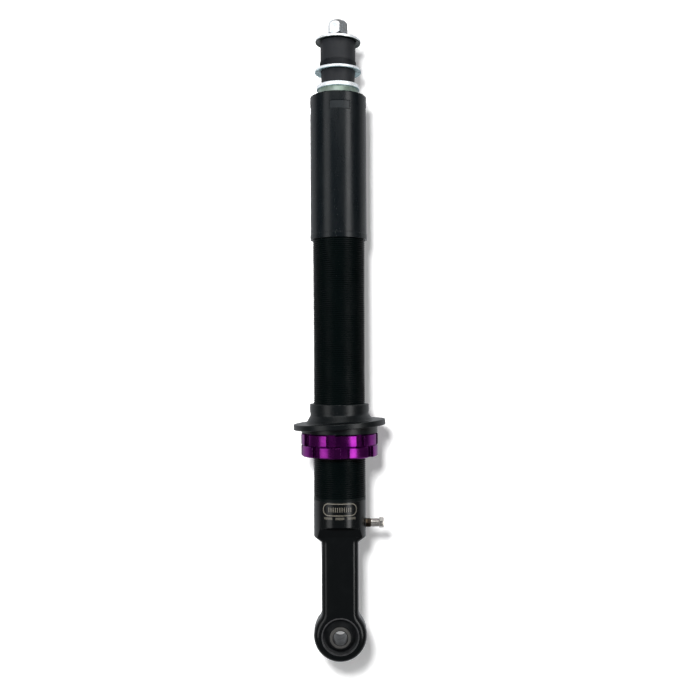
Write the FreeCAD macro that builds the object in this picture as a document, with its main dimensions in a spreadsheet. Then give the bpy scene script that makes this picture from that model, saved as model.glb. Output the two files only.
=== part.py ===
import FreeCAD, Part
import math
import operator
import os
import Sketcher
from FreeCAD import Placement, Rotation, Vector

# A monotube coilover strut at full extension, without its coil spring.
# Millimetres, +Z up. The origin is the centre of the lower eye; the eye's bore runs along Y
# and the gas valve points along +X.

SIZES = {
    # lower eye and its bonded bush, turned about Y
    "eye_radius": 26.3,
    "eye_width": 28,
    "eye_bore": 18.75,
    "bush_wall": 1.25,
    "bush_outer_length": 28.6,
    "rubber_rim": 25,
    "rubber_groove": 22,
    "rubber_crown": 31,
    "sleeve_radius": 10.5,
    "sleeve_bore": 7.1,
    "sleeve_length": 36,
    "sleeve_edge": 0.8,
    # forged lower mount: socket, blade and flares
    "mount_radius": 26,
    "mount_top": 134.5,
    "ledge_z": 109.5,
    "ledge_foot_z": 107.2,
    "ledge_foot_y": 17.4,
    "ledge_round": 2.5,
    "ledge_edge": 0.8,
    "shoulder_z": 98.3,
    "blade_top": 92.5,
    "blade_half": 18.3,
    "blade_round": 6.8,
    "flare_round": 9,
    "eye_flare_round": 11,
    "spigot_radius": 23,
    "spigot_length": 14,
    "passage_radius": 2.5,
    # body tube
    "tube_radius": 26,
    "tube_bore": 23,
    "tube_top": 402,
    "tube_edge": 1,
    "clip_groove": 24,
    # O-rings
    "cord_radius": 1.3,
    "ring_gap": 0.05,
    "groove_floor": 20.3,
    "groove_height": 2.8,
    # gland (rod guide) in the tube's top
    "gland_bottom": 374,
    "gland_top": 397,
    "gland_radius": 22.95,
    "clip_thick": 2,
    "clip_inner": 21.2,
    "clip_gap": 9,
    "seal_pocket": 15,
    "seal_height": 5,
    "wiper_height": 7,
    "guide_wall": 1.5,
    # piston rod and its stud
    "rod_radius": 10,
    "rod_gap": 0.03,
    "rod_shoulder": 528.5,
    "stud_radius": 6,
    "stud_end": 612.6,
    "tail_radius": 7,
    "tail_end": 328,
    # piston
    "piston_bottom": 345,
    "piston_top": 363,
    "piston_radius": 22.6,
    "piston_ports": 6,
    "port_radius": 2.6,
    "port_circle": 14,
    "band_height": 12,
    "band_depth": 1.4,
    "shim_count": 5,
    "shim_thick": 0.6,
    "shim_radius": 19,
    "shim_step": 2.2,
    "piston_nut_height": 11,
    "piston_nut_radius": 12.5,
    "rebound_radius": 16,
    "rebound_gap": 0.3,
    # floating piston
    "float_bottom": 180,
    "float_height": 18,
    "float_floor": 6,
    "float_wall": 4.5,
    # dust cover and what it holds
    "cover_radius": 28,
    "cover_bore": 26.5,
    "cover_bottom": 392.9,
    "cover_top": 535.3,
    "cover_roof": 2,
    "cover_eye": 19,
    "cover_lip": 0.3,
    "cover_lip_height": 5,
    "window_bottom": 517.6,
    "window_height": 8.3,
    "window_width": 20,
    "window_turn": 3.5,
    "window_gap": 0.4,
    "lug_depth": 0.35,
    "cap_plate": 2.8,
    "cap_skirt": 1.8,
    "cap_skirt_bottom": 513,
    "cup_plate": 2,
    "cup_radius": 23.5,
    "cup_depth": 9,
    "stop_length": 42.5,
    "stop_waist": 16.5,
    "stop_bulge": 21,
    "stop_tip": 14,
    "stop_bore": 10.4,
    "stop_neck_part": 0.75,
    "stop_low_waist_part": 0.62,
    "stop_mid_bulge_part": 0.45,
    "stop_top_waist_part": 0.3,
    "stop_top_bulge_part": 0.15,
    # stem bushes and washers, on the stud
    "collar_height": 7.1,
    "collar_top_radius": 20,
    "collar_bottom_radius": 21.5,
    "stud_hole": 6.15,
    "bottom_washer_radius": 21.5,
    "bottom_washer_edge": 4.1,
    "bottom_washer_crown": 5.6,
    "washer_flat": 11,
    "washer_round_part": 0.3,
    "mid_washer_rim_z": 559.4,
    "mid_washer_radius": 23.3,
    "mid_washer_thick": 3.1,
    "mid_washer_dome": 4,
    "top_washer_rim_z": 589.2,
    "top_washer_radius": 22.7,
    "top_washer_thick": 3.3,
    "top_washer_dome": 4.2,
    "top_washer_tilt": 1.5,
    "washer_ease": 0.35,
    "spacer_radius": 8,
    "lower_bush_foot": 16.4,
    "lower_bush_head": 17.2,
    "upper_bush_radius": 17.5,
    "upper_bush_lip": 18.3,
    "upper_bush_lip_z": 570,
    # locking nut on the stud, M12
    "nut_flats": 18,
    "nut_turn": 8.5,
    "nut_bottom": 596.95,
    "nut_height": 14.4,
    "nut_crown_radius": 8,
    "nut_crown_height": 3.4,
    "nut_foot_radius": 8.3,
    "nut_foot_height": 2,
    "nut_insert_radius": 7.2,
    "nut_insert_z": 10.9,
    # spring seat
    "seat_bottom": 200.9,
    "seat_top": 229.5,
    "seat_bore": 26.05,
    "neck_radius": 29.5,
    "neck_root": 29.1,
    "pilot_foot": 221.6,
    "flare_radius": 33.8,
    "flare_height": 6.3,
    "flare_round": 2,
    "flange_z": 209,
    "flange_thick": 5.6,
    "flange_radius": 46,
    "flange_tilt": 3.6,
    "seat_collar": 38,
    # height ring and lock ring
    "ring_radius": 38.3,
    "ring_bore": 26.05,
    "ring_edge": 0.9,
    "adjuster_bottom": 189,
    "adjuster_height": 11.6,
    "adjuster_turn": -13,
    "lock_bottom": 177.9,
    "lock_height": 10.9,
    "lock_turn": 8,
    "notch_count": 8,
    "notch_floor": 34.6,
    "notch_width": 9,
    # gas valve on the lower mount, along +X
    "valve_z": 110.5,
    "valve_seat_x": 24.5,
    "valve_spot": 6.6,
    "valve_shank": 3.9,
    "valve_shank_x": 12,
    "valve_base": 4.6,
    "valve_base_flats": 8.4,
    "valve_base_x": 30.6,
    "valve_stem": 3.6,
    "valve_stem_x": 40,
    "valve_bore": 1.3,
    "pin_radius": 0.8,
    "pin_length": 9.4,
    "cap_gap": 0.3,
    "cap_bore": 3.65,
    "cap_barrel": 4.2,
    "cap_head": 5.4,
    "cap_head_flats": 9.6,
    "cap_head_x": 39.2,
    "cap_end_x": 44,
    "cap_roof": 2.4,
    "cap_seal_radius": 3.3,
    "cap_seal_thick": 1.3,
}

doc = FreeCAD.newDocument("Coilover")
sheet = doc.addObject("Spreadsheet::Sheet", "Sizes")
for row, (alias, value) in enumerate(SIZES.items(), 1):
    sheet.set(f"A{row}", alias)
    sheet.set(f"B{row}", str(value))
    sheet.setAlias(f"B{row}", alias)
doc.recompute()


class Size:
    """A size of the sheet, or one worked out from it: its value, and the expression that binds it."""

    def __init__(self, value, text):
        self.value = value
        self.text = text

    def joined(self, sign, other, work):
        other = as_size(other)
        return Size(work(self.value, other.value), f"({self.text} {sign} {other.text})")

    def __add__(self, other):
        return self.joined("+", other, operator.add)

    def __sub__(self, other):
        return self.joined("-", other, operator.sub)

    def __mul__(self, other):
        return self.joined("*", other, operator.mul)

    def __truediv__(self, other):
        return self.joined("/", other, operator.truediv)

    def __neg__(self):
        return self * -1


class Sheet:
    """S.alias is the sheet's size of that name."""

    def __getattr__(self, name):
        return Size(float(sheet.get(name)), f"Sizes.{name}")


S = Sheet()


def as_size(size):
    return size if isinstance(size, Size) else Size(size, f"({size})")


# ---------------------------------------------------------------- sketches

def plane(body, role):
    return [f for f in body.Origin.OriginFeatures if f.Role == role][0]


def sketch_on(body, role, name, offset=0):
    """A sketch on one of the body's origin planes, moved along its own normal."""
    sketch = body.newObject("Sketcher::SketchObject", name)
    sketch.AttachmentSupport = [(plane(body, role), "")]
    sketch.MapMode = "FlatFace"
    sketch.setExpression("AttachmentOffset.Base.z", as_size(offset).text)
    return sketch


def bind(sketch, kind, geometry, point, size):
    """Holds a point's distance from the sketch's origin, or a curve's radius, to an expression."""
    if kind == "Radius":
        constraint = Sketcher.Constraint(kind, geometry, size.value)
    else:
        constraint = Sketcher.Constraint(kind, -1, 1, geometry, point, size.value)
    index = sketch.addConstraint(constraint)
    sketch.setExpression(f"Constraints[{index}]", size.text)


def draw(sketch, outline):
    """A closed outline through corners: each an (across, up) pair of sizes, or with a round, a triple."""
    corners = [tuple(as_size(size) for size in corner) for corner in outline]
    points = [Vector(corner[0].value, corner[1].value, 0) for corner in corners]
    count = len(points)
    ends = [
        corner_ends(points[i - 1], points[i], points[(i + 1) % count], corners[i]) for i in range(count)]
    first = sketch.GeometryCount
    for i in range(count):
        sketch.addGeometry(Part.LineSegment(ends[i][1], ends[(i + 1) % count][0]), False)
    for i, corner in enumerate(corners):
        before, after = first + (i - 1) % count, first + i
        if len(corner) == 2:
            sketch.addConstraint(Sketcher.Constraint("Coincident", before, 2, after, 1))
            held = (after, 1)
        else:
            held = (round_corner(sketch, before, after, ends[i], corner[2]), 1)
        bind(sketch, "DistanceX", *held, corner[0])
        bind(sketch, "DistanceY", *held, corner[1])


def corner_ends(last, here, following, corner):
    """Where the runs either side of a corner stop, short of it by the round's tangent length."""
    if len(corner) == 2:
        return here, here
    back, on = last - here, following - here
    back.normalize()
    on.normalize()
    reach = corner[2].value / math.tan(back.getAngle(on) / 2)
    return here + back * reach, here + on * reach


def round_corner(sketch, before, after, ends, radius):
    """A tangent arc between two runs, and the construction point where they would have met."""
    back = sketch.Geometry[before].StartPoint - ends[0]
    on = sketch.Geometry[after].EndPoint - ends[1]
    left_turn = (on.x * back.y - on.y * back.x) > 0
    across = Vector(-on.y, on.x, 0) if left_turn else Vector(on.y, -on.x, 0)
    centre = ends[1] + across.normalize() * radius.value
    from_end, to_end = ends if left_turn else ends[::-1]
    round_edge = Part.Circle(centre, Vector(0, 0, 1), radius.value)
    start, stop = (math.atan2(end.y - centre.y, end.x - centre.x) for end in (from_end, to_end))
    arc = sketch.addGeometry(Part.ArcOfCircle(round_edge, start, stop), False)
    sketch.addConstraint(Sketcher.Constraint("Tangent", before, 2, arc, 1 if left_turn else 2))
    sketch.addConstraint(Sketcher.Constraint("Tangent", after, 1, arc, 2 if left_turn else 1))
    bind(sketch, "Radius", arc, 0, radius)
    corner = lines_meet(sketch.Geometry[before], sketch.Geometry[after])
    point = sketch.addGeometry(Part.Point(corner), True)
    sketch.addConstraint(Sketcher.Constraint("PointOnObject", point, 1, before))
    sketch.addConstraint(Sketcher.Constraint("PointOnObject", point, 1, after))
    return point


def lines_meet(one, two):
    along, other = one.EndPoint - one.StartPoint, two.EndPoint - two.StartPoint
    apart = two.StartPoint - one.StartPoint
    share = (apart.x * other.y - apart.y * other.x) / (along.x * other.y - along.y * other.x)
    return one.StartPoint + along * share


def circle(sketch, across, up, radius):
    across, up, radius = as_size(across), as_size(up), as_size(radius)
    centre = Vector(across.value, up.value, 0)
    index = sketch.addGeometry(Part.Circle(centre, Vector(0, 0, 1), radius.value), False)
    bind(sketch, "DistanceX", index, 3, across)
    bind(sketch, "DistanceY", index, 3, up)
    bind(sketch, "Radius", index, 0, radius)


def hexagon(sketch, flats):
    """A hexagon by its width across flats, two corners straight up and down, bound through its corners."""
    for_corner = 1 / math.sqrt(3)
    corners = []
    for k in range(6):
        angle = math.radians(60 * k + 30)
        corners.append((flats * round(for_corner * math.cos(angle), 9),
                        flats * round(for_corner * math.sin(angle), 9)))
    draw(sketch, corners)


# ---------------------------------------------------------------- features

def new_body(label, z=0, axis="Z"):
    """An empty body whose own Z runs along the axis named, its origin z above the eye's centre."""
    body = doc.addObject("PartDesign::Body", label)
    turns = {
        "Z": Rotation(),
        "Y": Rotation(Vector(1, 0, 0), -90),
        "X": Rotation(Vector(0, 1, 0), 90),
    }
    body.Placement = Placement(Vector(), turns[axis])
    body.setExpression("Placement.Base.z", as_size(z).text)
    return body


def turn_profile(body, outline, kind="Revolution", name="turned"):
    sketch = sketch_on(body, "XZ_Plane", f"{body.Label}_{name}_outline")
    draw(sketch, outline)
    feature = body.newObject(f"PartDesign::{kind}", f"{body.Label}_{name}")
    feature.Profile = sketch
    feature.ReferenceAxis = (sketch, ["V_Axis"])
    feature.Angle = 360
    sketch.Visibility = False
    return feature


def turned(label, outline, z=0, axis="Z"):
    """A body of one closed (radius, height) outline turned about its own Z."""
    body = new_body(label, z, axis)
    turn_profile(body, outline)
    return body


def extrude(body, sketch, kind, length, both=False, reverse=False):
    """A pad or pocket of the sketch, to one side or to both sides of it."""
    feature = body.newObject(f"PartDesign::{kind}", f"{sketch.Name}_{kind.lower()}")
    feature.Profile = sketch
    feature.SideType = "Symmetric" if both else "One side"
    feature.Reversed = reverse
    feature.setExpression("Length", as_size(length).text)
    sketch.Visibility = False
    return feature


def cut(body, sketch, length, both=False, reverse=False):
    """A pocket that has to take material away."""
    doc.recompute()
    before = body.Shape.Volume
    feature = extrude(body, sketch, "Pocket", length, both, reverse)
    doc.recompute()
    if body.Shape.Volume >= before:
        raise ValueError(f"{feature.Name} cuts nothing")
    return feature


def repeat(body, feature, count):
    """The feature repeated evenly about the body's Z."""
    pattern = body.newObject("PartDesign::PolarPattern", f"{feature.Name}_pattern")
    pattern.Originals = [feature]
    pattern.Axis = (feature.Profile[0], ["N_Axis"])
    pattern.Angle = 360
    pattern.setExpression("Occurrences", as_size(count).text)
    body.Tip = pattern
    return pattern


def near(one, two, slack=0.02):
    return abs(one - two) < slack


def rims(shape, radius, height):
    """Names of the shape's round edges about Z, of one radius, at one height."""
    names = []
    for index, edge in enumerate(shape.Edges, 1):
        round_edge = isinstance(edge.Curve, Part.Circle)
        if round_edge and near(edge.Curve.Radius, radius.value) and near(edge.Curve.Center.z, height.value):
            names.append(f"Edge{index}")
    return names


def edges_where(shape, wanted):
    """Names of the shape's edges whose middle point passes the test."""
    names = []
    for index, edge in enumerate(shape.Edges, 1):
        middle = edge.valueAt((edge.FirstParameter + edge.LastParameter) / 2)
        if wanted(middle, edge):
            names.append(f"Edge{index}")
    return names


def dress(body, kind, names, size, name):
    """A fillet or chamfer on the edges named."""
    if not names:
        raise ValueError(f"{body.Label}: no edge found for {name}")
    base = body.Tip
    feature = body.newObject(f"PartDesign::{kind}", f"{body.Label}_{name}")
    feature.Base = (base, names)
    feature.setExpression("Radius" if kind == "Fillet" else "Size", as_size(size).text)
    doc.recompute()
    return feature


def soften(body, kind, size, corners, name="edge"):
    """A fillet or chamfer on the round edges at the (radius, height) corners given."""
    doc.recompute()
    names = []
    for radius, height in corners:
        names += rims(body.Tip.Shape, as_size(radius), as_size(height))
    return dress(body, kind, names, size, name)


def o_ring(label, z):
    """A round cord ring that reaches the tube's bore, less the running gap."""
    ring = doc.addObject("Part::Torus", label)
    ring.setExpression("Radius2", S.cord_radius.text)
    ring.setExpression("Radius1", (S.tube_bore - S.ring_gap - S.cord_radius).text)
    ring.setExpression("Placement.Base.z", z.text)


def ring_outline(inner, outer, bottom, top):
    return [(inner, bottom), (outer, bottom), (outer, top), (inner, top)]


def grooved(outer, bottom, top, groove_bottom, inner):
    """The outline of a plug with one O-ring groove in its rim."""
    groove_top = groove_bottom + S.groove_height
    return [
        (inner, bottom), (outer, bottom), (outer, groove_bottom), (S.groove_floor, groove_bottom),
        (S.groove_floor, groove_top), (outer, groove_top), (outer, top), (inner, top),
    ]


# ---------------------------------------------------------------- lower mount and eye

def lower_mount():
    """Forged mount: a round socket, flattened in two steps to a rounded blade, and an eye."""
    body = new_body("lower_mount")
    half = S.blade_half.value
    flat = S.eye_width / 2

    # blade, flared shoulders and eye are one plate, as thick as the eye
    front = sketch_on(body, "XZ_Plane", "mount_front")
    draw(front, [
        (-S.blade_half, 0), (S.blade_half, 0), (S.blade_half, S.blade_top, S.flare_round),
        (S.mount_radius, S.shoulder_z), (S.mount_radius, S.ledge_foot_z),
        (-S.mount_radius, S.ledge_foot_z), (-S.mount_radius, S.shoulder_z),
        (-S.blade_half, S.blade_top, S.flare_round),
    ])
    extrude(body, front, "Pad", S.eye_width, both=True)
    eye = sketch_on(body, "XZ_Plane", "mount_eye")
    circle(eye, 0, 0, S.eye_radius)
    extrude(body, eye, "Pad", S.eye_width, both=True)
    doc.recompute()
    neck_z = math.sqrt(S.eye_radius.value ** 2 - half ** 2)
    necks = edges_where(
        body.Tip.Shape, lambda p, e: near(abs(p.x), half) and near(p.y, 0) and near(p.z, neck_z))
    dress(body, "Fillet", necks, S.eye_flare_round, "eye_flare")

    # one round runs along the edges of the whole plate
    rounds = edges_where(
        body.Tip.Shape,
        lambda p, e: near(abs(p.x), half) and near(abs(p.y), flat.value) and p.z > S.eye_radius.value)
    dress(body, "Fillet", rounds, S.blade_round, "blade_round")

    # the round socket above it, flattened front and back up to a ledge
    turn_profile(body, ring_outline(0, S.mount_radius, S.shoulder_z, S.mount_top), name="socket")
    outside = S.mount_radius * 2
    rounded = sketch_on(body, "XY_Plane", "mount_round", offset=S.blade_top - S.flare_round)
    draw(rounded, [(-outside, -outside), (outside, -outside), (outside, outside), (-outside, outside)])
    circle(rounded, 0, 0, S.mount_radius)
    cut(body, rounded, S.mount_top, reverse=True)
    side = sketch_on(body, "YZ_Plane", "mount_side")
    for sign in (1, -1):
        draw(side, [
            (flat * sign, S.shoulder_z), (S.ledge_foot_y * sign, S.ledge_foot_z, S.ledge_round),
            (S.mount_radius * sign, S.ledge_z), (outside * sign, S.ledge_z),
            (outside * sign, S.shoulder_z),
        ])
    cut(body, side, outside * 2, both=True)
    brow = edges_where(
        body.Tip.Shape,
        lambda p, e: isinstance(e.Curve, Part.Ellipse) and p.z > S.ledge_foot_z.value)
    dress(body, "Fillet", brow, S.ledge_edge, "ledge_edge")

    spigot_top = S.mount_top + S.spigot_length
    groove = S.mount_top + S.spigot_length / 2
    turn_profile(body, grooved(S.spigot_radius, S.mount_top, spigot_top, groove, 0), name="spigot")

    bore = sketch_on(body, "XZ_Plane", "mount_bore")
    circle(bore, 0, 0, S.eye_bore)
    cut(body, bore, S.eye_width * 2, both=True)

    # the gas passage: in from the valve's spot face, then up through the spigot
    spot = sketch_on(body, "YZ_Plane", "mount_spot", offset=S.valve_seat_x)
    circle(spot, 0, S.valve_z, S.valve_spot)
    cut(body, spot, S.mount_radius, reverse=True)
    port = sketch_on(body, "YZ_Plane", "mount_port", offset=S.valve_shank_x)
    circle(port, 0, S.valve_z, S.valve_shank)
    cut(body, port, S.mount_radius, reverse=True)
    across = sketch_on(body, "YZ_Plane", "mount_cross_hole")
    circle(across, 0, S.valve_z, S.passage_radius)
    cut(body, across, S.valve_shank_x, reverse=True)
    up = sketch_on(body, "XY_Plane", "mount_up_hole", offset=S.valve_z)
    circle(up, 0, 0, S.passage_radius)
    cut(body, up, S.mount_top, reverse=True)


def eye_bush():
    """The bonded bush: outer sleeve, dished rubber and the free inner sleeve, all about Y."""
    outer_bore = S.eye_bore - S.bush_wall
    half = S.bush_outer_length / 2
    turned("bush_outer_sleeve", ring_outline(outer_bore, S.eye_bore, -half, half), axis="Y")

    rim = S.rubber_rim / 2
    groove = S.rubber_groove / 2
    crown = S.rubber_crown / 2
    bore = S.sleeve_radius + S.ring_gap
    groove_radius = (outer_bore + bore) / 2 + S.bush_wall
    crown_radius = bore + S.bush_wall
    turned("bush_rubber", [
        (bore, -crown), (crown_radius, -crown), (groove_radius, -groove), (outer_bore, -rim),
        (outer_bore, rim), (groove_radius, groove), (crown_radius, crown), (bore, crown),
    ], axis="Y")

    half = S.sleeve_length / 2
    sleeve = turned(
        "bush_inner_sleeve", ring_outline(S.sleeve_bore, S.sleeve_radius, -half, half), axis="Y")
    soften(sleeve, "Chamfer", S.sleeve_edge, [(S.sleeve_radius, half), (S.sleeve_radius, -half)])


# ---------------------------------------------------------------- tube and gland

def body_tube():
    clip_z = S.gland_top
    tube = turned("body_tube", [
        (S.tube_bore, S.mount_top), (S.tube_radius, S.mount_top), (S.tube_radius, S.tube_top),
        (S.tube_bore, S.tube_top), (S.tube_bore, clip_z + S.clip_thick),
        (S.clip_groove, clip_z + S.clip_thick), (S.clip_groove, clip_z), (S.tube_bore, clip_z),
    ])
    soften(tube, "Chamfer", S.tube_edge, [(S.tube_radius, S.tube_top)])


def gland():
    """Rod guide with a bush, a rod seal and a wiper, held in the tube by a split ring."""
    rod_hole = S.rod_radius + S.rod_gap
    bush_radius = S.rod_radius + S.guide_wall
    bush_bottom = S.gland_bottom + S.clip_thick
    bush_top = S.gland_top - S.seal_height - S.clip_thick
    groove = S.gland_bottom + S.groove_height * 2
    groove_top = groove + S.groove_height
    turned("gland", [
        (S.stop_bore, S.gland_bottom), (S.gland_radius, S.gland_bottom), (S.gland_radius, groove),
        (S.groove_floor, groove), (S.groove_floor, groove_top), (S.gland_radius, groove_top),
        (S.gland_radius, S.gland_top), (S.seal_pocket, S.gland_top), (S.seal_pocket, bush_top),
        (bush_radius, bush_top), (bush_radius, bush_bottom), (S.stop_bore, bush_bottom),
    ])
    o_ring("gland_oring", groove + S.groove_height / 2)
    turned("guide_bush", ring_outline(rod_hole, bush_radius, bush_bottom, bush_top))
    seal_top = bush_top + S.seal_height
    turned("rod_seal", ring_outline(rod_hole, S.seal_pocket, bush_top, seal_top))
    lip = S.rod_radius + S.guide_wall
    turned("rod_wiper", [
        (rod_hole, seal_top), (S.seal_pocket, seal_top), (S.seal_pocket, S.gland_top),
        (lip, seal_top + S.wiper_height), (rod_hole, seal_top + S.wiper_height),
    ])
    clip = turned(
        "gland_clip", ring_outline(S.clip_inner, S.clip_groove, 0, S.clip_thick), z=S.gland_top)
    gap = sketch_on(clip, "XY_Plane", "clip_gap")
    half = S.clip_gap / 2
    draw(gap, [(0, -half), (S.tube_radius, -half), (S.tube_radius, half), (0, half)])
    cut(clip, gap, S.clip_thick, reverse=True)


# ---------------------------------------------------------------- rod and piston

def rod_and_piston():
    """Chromed rod with its M12 stud, and on its tail the piston between two shim stacks."""
    stack = S.shim_thick * S.shim_count
    tail_top = S.piston_top + stack
    rod = turned("piston_rod", [
        (0, S.tail_end), (S.tail_radius, S.tail_end), (S.tail_radius, tail_top),
        (S.rod_radius, tail_top), (S.rod_radius, S.rod_shoulder), (S.stud_radius, S.rod_shoulder),
        (S.stud_radius, S.stud_end), (0, S.stud_end),
    ])
    soften(rod, "Chamfer", S.tube_edge, [(S.stud_radius, S.stud_end), (S.tail_radius, S.tail_end)])

    band_bottom = (S.piston_bottom + S.piston_top - S.band_height) / 2
    band_top = band_bottom + S.band_height
    band_floor = S.piston_radius - S.band_depth
    piston = turned("piston", [
        (S.tail_radius, S.piston_bottom), (S.piston_radius, S.piston_bottom),
        (S.piston_radius, band_bottom), (band_floor, band_bottom), (band_floor, band_top),
        (S.piston_radius, band_top), (S.piston_radius, S.piston_top), (S.tail_radius, S.piston_top),
    ])
    port = sketch_on(piston, "XY_Plane", "piston_port", offset=S.piston_bottom)
    circle(port, S.port_circle, 0, S.port_radius)
    repeat(piston, cut(piston, port, S.piston_top, reverse=True), S.piston_ports)

    turned("piston_band", ring_outline(
        band_floor + S.ring_gap, S.tube_bore - S.ring_gap, band_bottom + S.ring_gap, band_top - S.ring_gap))

    shim_stack("compression_shims", S.piston_top, 1)
    shim_stack("rebound_shims", S.piston_bottom, -1)
    nut_top = S.piston_bottom - stack
    nut = new_body("piston_nut", nut_top - S.piston_nut_height)
    outline = sketch_on(nut, "XY_Plane", "piston_nut_hex")
    hexagon(outline, S.piston_nut_radius * 2)
    circle(outline, 0, 0, S.tail_radius)
    extrude(nut, outline, "Pad", S.piston_nut_height)
    turned("rebound_stop", ring_outline(
        S.rod_radius, S.rebound_radius, tail_top, S.gland_bottom - S.rebound_gap))


def shim_stack(label, start, way):
    """A pyramid of thin discs, the widest against the piston."""
    outline = [(S.tail_radius, start)]
    for k in range(int(S.shim_count.value)):
        radius = S.shim_radius - S.shim_step * k
        outline.append((radius, start + S.shim_thick * (k * way)))
        outline.append((radius, start + S.shim_thick * ((k + 1) * way)))
    outline.append((S.tail_radius, start + S.shim_thick * S.shim_count * way))
    turned(label, outline)


def floating_piston():
    """The gas divider: a cup open downwards, with an O-ring and a band."""
    top = S.float_bottom + S.float_height
    wall = S.piston_radius - S.float_wall
    groove = S.float_bottom + S.float_height / 2
    groove_top = groove + S.groove_height
    band_bottom = S.float_bottom + S.clip_thick
    band_top = groove - S.clip_thick
    band_floor = S.piston_radius - S.band_depth
    turned("floating_piston", [
        (0, top - S.float_floor), (wall, top - S.float_floor), (wall, S.float_bottom),
        (S.piston_radius, S.float_bottom), (S.piston_radius, band_bottom), (band_floor, band_bottom),
        (band_floor, band_top), (S.piston_radius, band_top), (S.piston_radius, groove),
        (S.groove_floor, groove), (S.groove_floor, groove_top), (S.piston_radius, groove_top),
        (S.piston_radius, top), (0, top),
    ])
    turned("floating_band", ring_outline(band_floor, S.tube_bore - S.ring_gap, band_bottom, band_top))
    o_ring("floating_oring", groove + S.groove_height / 2)


# ---------------------------------------------------------------- dust cover

def window_sketch(body, name, clearance):
    """The snap window's outline, seen from the front; its sketch plane holds the axis."""
    sketch = sketch_on(body, "XZ_Plane", name)
    half = S.window_width / 2 - clearance
    bottom = S.window_bottom + clearance
    top = S.window_bottom + S.window_height - clearance
    draw(sketch, [(-half, bottom), (half, bottom), (half, top), (-half, top)])
    return sketch


def around(body, feature, count=4):
    """The feature repeated about the body's Z, where its own sketch stands upright."""
    pattern = repeat(body, feature, count)
    pattern.Axis = (feature.Profile[0], ["V_Axis"])
    return pattern


def dust_cover():
    """Closed-top cover with a rolled lip and four snap windows, and the cap inside it."""
    lip_radius = S.cover_radius + S.cover_lip
    lip_top = S.cover_bottom + S.cover_lip_height
    roof = S.cover_top - S.cover_roof
    cover = turned("dust_cover", [
        (S.cover_bore, S.cover_bottom), (lip_radius, S.cover_bottom), (lip_radius, lip_top),
        (S.cover_radius, lip_top + S.cover_lip), (S.cover_radius, S.cover_top),
        (S.cover_eye, S.cover_top), (S.cover_eye, roof), (S.cover_bore, roof),
    ])
    soften(cover, "Fillet", S.cover_roof / 2, [(S.cover_radius, S.cover_top)])
    around(cover, cut(cover, window_sketch(cover, "cover_window", 0), lip_radius))
    cover.Placement.Rotation = Rotation(Vector(0, 0, 1), S.window_turn.value)

    skirt = S.cover_bore - S.ring_gap
    plate = roof - S.cap_plate
    cap = new_body("cover_cap")
    lug = window_sketch(cap, "cap_lug", S.window_gap)
    pad = extrude(cap, lug, "Pad", S.cover_radius)
    around(cap, pad)
    hollow = sketch_on(cap, "XY_Plane", "cap_hollow")
    circle(hollow, 0, 0, skirt - S.cap_skirt)
    cut(cap, hollow, S.cover_top, reverse=True)
    outside = sketch_on(cap, "XY_Plane", "cap_outside")
    circle(outside, 0, 0, S.cover_radius * 2)
    circle(outside, 0, 0, S.cover_radius - S.lug_depth)
    cut(cap, outside, S.cover_top, reverse=True)
    turn_profile(cap, [
        (S.stud_hole, plate), (skirt - S.cap_skirt, plate), (skirt - S.cap_skirt, S.cap_skirt_bottom),
        (skirt, S.cap_skirt_bottom), (skirt, roof), (S.cover_eye - S.window_gap, roof),
        (S.cover_eye - S.window_gap, S.cover_top), (S.stud_hole, S.cover_top),
    ], name="skirt")
    cap.Placement.Rotation = Rotation(Vector(0, 0, 1), S.window_turn.value)


def bump_stop():
    """A cup under the cover's cap and the foam stop that sits in it."""
    cup_top = S.rod_shoulder + S.cup_plate
    cup_wall = S.cup_radius - S.cup_plate
    turned("bump_cup", [
        (S.stud_hole, S.rod_shoulder), (cup_wall, S.rod_shoulder),
        (cup_wall, S.rod_shoulder - S.cup_depth), (S.cup_radius, S.rod_shoulder - S.cup_depth),
        (S.cup_radius, cup_top), (S.stud_hole, cup_top),
    ])
    top = S.rod_shoulder
    outline = [(S.stop_bore, top), (S.stop_bore, top - S.stop_length), (S.stop_tip, top - S.stop_length)]
    for part, radius in (
            (S.stop_neck_part, S.stop_bulge - S.guide_wall), (S.stop_low_waist_part, S.stop_waist),
            (S.stop_mid_bulge_part, S.stop_bulge), (S.stop_top_waist_part, S.stop_waist),
            (S.stop_top_bulge_part, S.stop_bulge)):
        outline.append((radius, top - S.stop_length * part))
    outline.append((S.stop_bulge, top))
    turned("bump_stop", outline)


# ---------------------------------------------------------------- stem bushes

def cup_washer(label, rim_z, radius, thick, dome, hole):
    """A dished washer: flat in the middle, its rim turned down."""
    washer = turned(label, [
        (hole, dome), (S.washer_flat, dome), (radius, 0), (radius, thick),
        (S.washer_flat, dome + thick), (hole, dome + thick),
    ], z=rim_z)
    soften(washer, "Fillet", thick * S.washer_round_part, [(radius, 0), (radius, thick)])
    return washer


def dish_height(radius, rim_z, washer_radius, dome):
    """How high the washer's underside stands at a radius outside its flat."""
    return rim_z + dome * (washer_radius - radius) / (washer_radius - S.washer_flat)


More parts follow.
